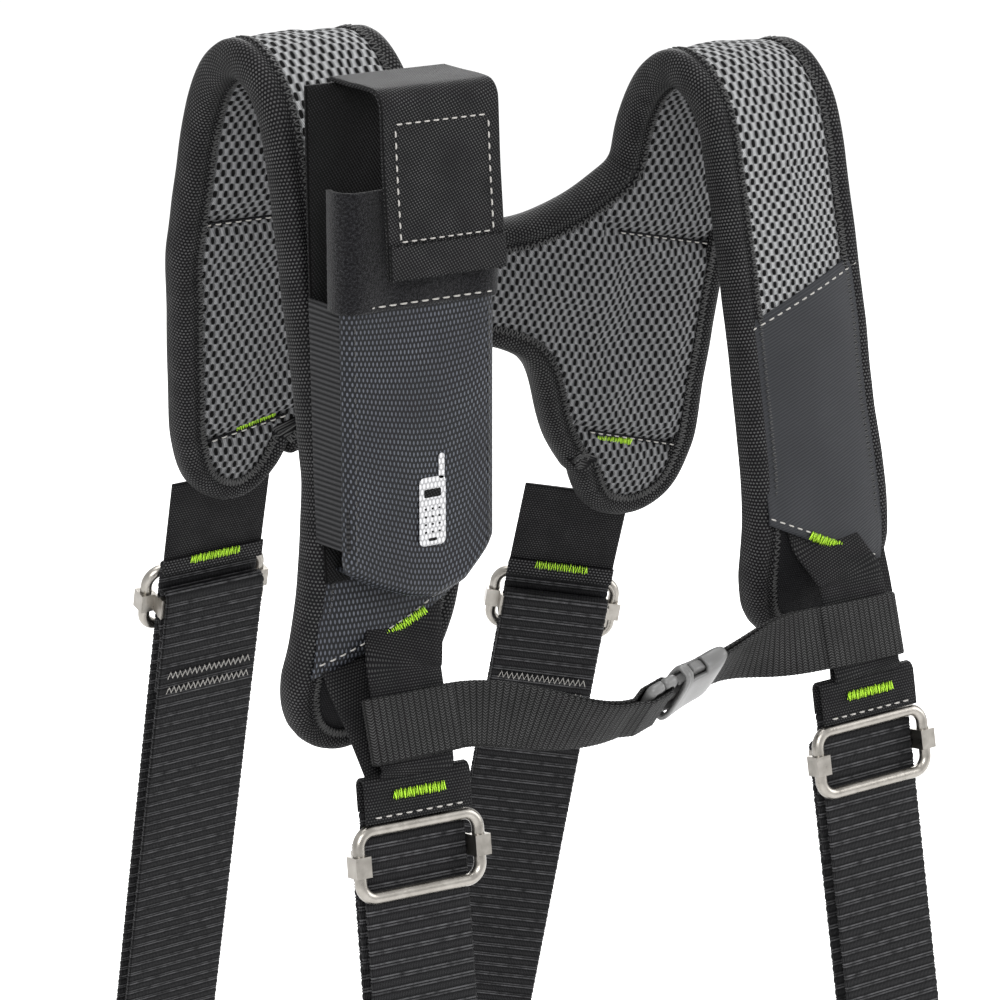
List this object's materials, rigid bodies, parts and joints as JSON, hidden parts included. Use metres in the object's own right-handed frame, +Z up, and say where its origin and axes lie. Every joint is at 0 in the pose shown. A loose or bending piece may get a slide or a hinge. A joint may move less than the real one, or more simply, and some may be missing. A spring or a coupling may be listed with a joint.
{
  "type": "padded tool-belt braces",
  "caption": "Padded shoulder braces for a tool belt: H-shaped padded back, phone pocket, chest strap with side-release buckle and adjustable ribbed straps.",
  "frame": {"origin": "midway between the two shoulder pads, at the height of the saddle line on the shoulders", "axes": "+X across the shoulders towards the pad without a pocket, +Y towards the wearer's back, +Z up"},
  "size_m": [0.2506, 0.2795, 0.524],
  "materials": {
    "foam": "closed-cell foam, matt",
    "mesh_dark": "dark grey spacer mesh with open holes",
    "mesh_light": "light grey spacer mesh with open holes",
    "facing": "plain black lining cloth",
    "binding": "coarse black tape, stitched",
    "plain_web": "plain black webbing",
    "chest_web": "finely ribbed black webbing",
    "panel": "smooth grey-black finely ribbed cloth",
    "ballistic": "charcoal ballistic nylon weave",
    "elastic": "ribbed grey elastic",
    "fuzzy_loop": "black fuzzy loop pile",
    "twill": "black twill",
    "hook_patch": "black hook tape",
    "green_thread": "glossy lime-green bar-tack thread",
    "ribbed_web": "black webbing with cross ribs",
    "nickel": "satin nickel-plated steel wire",
    "buckle": "satin grey acetal"
  },
  "bodies": {
    "harness": {"foam_core_left": "foam", "mesh_lining_left": "mesh_dark", "mesh_cover_left": "mesh_light", "foot_facing_left": "facing", "edge_binding_left": "binding", "front_tape_outer_left": "plain_web", "front_tape_inner_left": "plain_web", "back_stub_left": "plain_web", "foam_core_right": "foam", "mesh_lining_right": "mesh_dark", "mesh_cover_right": "mesh_light", "foot_facing_right": "facing", "edge_binding_right": "binding", "front_tape_outer_right": "plain_web", "front_tape_inner_right": "plain_web", "back_stub_right": "plain_web", "front_panel_right": "panel", "front_panel_left": "ballistic", "pocket_front": "ballistic", "pocket_back": "ballistic", "yoke_foam": "foam", "yoke_lining": "mesh_dark", "yoke_cover": "mesh_light", "yoke_binding_top": "binding", "yoke_binding_low": "binding", "pocket_elastic": "elastic", "pocket_loop_strip": "fuzzy_loop", "bartacks": "green_thread", "strap_standing_front_left": "ribbed_web", "strap_standing_front_right": "ribbed_web", "strap_standing_back_left": "ribbed_web", "strap_standing_back_right": "ribbed_web"},
    "flap": {"pocket_flap": "twill", "flap_hook_patch": "hook_patch"},
    "chest": {"chest_strap_left": "chest_web", "chest_strap_right": "chest_web", "buckle_socket": "buckle"},
    "plug": {"buckle_plug": "buckle"},
    "latch_upper": {"buckle_latch_upper": "buckle"},
    "latch_lower": {"buckle_latch_lower": "buckle"},
    "slider_front_left": {"slider_frame_front_left": "nickel", "slider_bar_front_left": "nickel", "strap_return_front_left": "ribbed_web"},
    "ring_front_left": {"belt_ring_front_left": "nickel"},
    "loop_front_left": {"belt_loop_front_left": "plain_web"},
    "slider_front_right": {"slider_frame_front_right": "nickel", "slider_bar_front_right": "nickel", "strap_return_front_right": "ribbed_web"},
    "ring_front_right": {"belt_ring_front_right": "nickel"},
    "loop_front_right": {"belt_loop_front_right": "plain_web"},
    "slider_back_left": {"slider_frame_back_left": "nickel", "slider_bar_back_left": "nickel", "strap_return_back_left": "ribbed_web"},
    "ring_back_left": {"belt_ring_back_left": "nickel"},
    "loop_back_left": {"belt_loop_back_left": "plain_web"},
    "slider_back_right": {"slider_frame_back_right": "nickel", "slider_bar_back_right": "nickel", "strap_return_back_right": "ribbed_web"},
    "ring_back_right": {"belt_ring_back_right": "nickel"},
    "loop_back_right": {"belt_loop_back_right": "plain_web"}
  },
  "joints": [
    {"name": "flap_hinge", "type": "hinge", "parent": "harness", "child": "flap", "pos_m": [-0.084, -0.0462, 0.0132], "axis": [-1, 0, 0], "range_deg": [0, 150]},
    {"name": "chest_height", "type": "slide", "parent": "harness", "child": "chest", "axis": [0, 0.2976, 0.9547], "range_m": [-0.003, 0.008]},
    {"name": "buckle_release", "type": "slide", "parent": "chest", "child": "plug", "axis": [-0.9661, -0.153, -0.2079], "range_m": [0, 0.022], "deforming": ["buckle_latch_upper", "buckle_latch_lower", "chest_strap_left"]},
    {"name": "latch_upper_flex", "type": "hinge", "parent": "plug", "child": "latch_upper", "pos_m": [0.0079, -0.08101, -0.19871], "axis": [-0.2513, 0.7415, 0.6222], "range_deg": [0, 12], "stiffness_Nm_per_rad": 0.05},
    {"name": "latch_lower_flex", "type": "hinge", "parent": "plug", "child": "latch_lower", "pos_m": [0.0089, -0.06991, -0.21154], "axis": [0.2513, -0.7415, -0.6222], "range_deg": [0, 12], "stiffness_Nm_per_rad": 0.05},
    {"name": "slider_front_left_slide", "type": "slide", "parent": "harness", "child": "slider_front_left", "axis": [0.0293, 0.17, 0.985], "range_m": [-0.055, 0], "deforming": ["strap_standing_front_left", "strap_return_front_left"]},
    {"name": "ring_front_left_travel", "type": "slide", "parent": "harness", "child": "ring_front_left", "axis": [0.0293, 0.17, 0.985], "range_m": [-0.0275, 0]},
    {"name": "loop_front_left_swing", "type": "hinge", "parent": "ring_front_left", "child": "loop_front_left", "pos_m": [-0.09972, -0.10572, -0.43405], "axis": [-0.9996, 0, 0.0297], "range_deg": [-35, 35]},
    {"name": "slider_front_right_slide", "type": "slide", "parent": "harness", "child": "slider_front_right", "axis": [-0.0293, 0.17, 0.985], "range_m": [-0.055, 0], "deforming": ["strap_standing_front_right", "strap_return_front_right"]},
    {"name": "ring_front_right_travel", "type": "slide", "parent": "harness", "child": "ring_front_right", "axis": [-0.0293, 0.17, 0.985], "range_m": [-0.0275, 0]},
    {"name": "loop_front_right_swing", "type": "hinge", "parent": "ring_front_right", "child": "loop_front_right", "pos_m": [0.09972, -0.10572, -0.43405], "axis": [-0.9996, 0, -0.0297], "range_deg": [-35, 35]},
    {"name": "slider_back_left_slide", "type": "slide", "parent": "harness", "child": "slider_back_left", "axis": [-0.0361, -0.2888, 0.9567], "range_m": [-0.055, 0], "deforming": ["strap_standing_back_left", "strap_return_back_left"]},
    {"name": "ring_back_left_travel", "type": "slide", "parent": "harness", "child": "ring_back_left", "axis": [-0.0361, -0.2888, 0.9567], "range_m": [-0.0275, 0]},
    {"name": "loop_back_left_swing", "type": "hinge", "parent": "ring_back_left", "child": "loop_back_left", "pos_m": [-0.06911, 0.16063, -0.43365], "axis": [0.9993, 0, 0.0377], "range_deg": [-35, 35]},
    {"name": "slider_back_right_slide", "type": "slide", "parent": "harness", "child": "slider_back_right", "axis": [0.0545, -0.2126, 0.9756], "range_m": [-0.055, 0], "deforming": ["strap_standing_back_right", "strap_return_back_right"]},
    {"name": "ring_back_right_travel", "type": "slide", "parent": "harness", "child": "ring_back_right", "axis": [0.0545, -0.2126, 0.9756], "range_m": [-0.0275, 0]},
    {"name": "loop_back_right_swing", "type": "hinge", "parent": "ring_back_right", "child": "loop_back_right", "pos_m": [0.06353, 0.13904, -0.4338], "axis": [0.873, -0.4642, -0.1499], "range_deg": [-35, 35]}
  ],
  "couplings": [
    {"joint": "ring_front_left_travel", "follows": "slider_front_left_slide", "ratio": 0.5},
    {"joint": "ring_front_right_travel", "follows": "slider_front_right_slide", "ratio": 0.5},
    {"joint": "ring_back_left_travel", "follows": "slider_back_left_slide", "ratio": 0.5},
    {"joint": "ring_back_right_travel", "follows": "slider_back_right_slide", "ratio": 0.5}
  ]
}
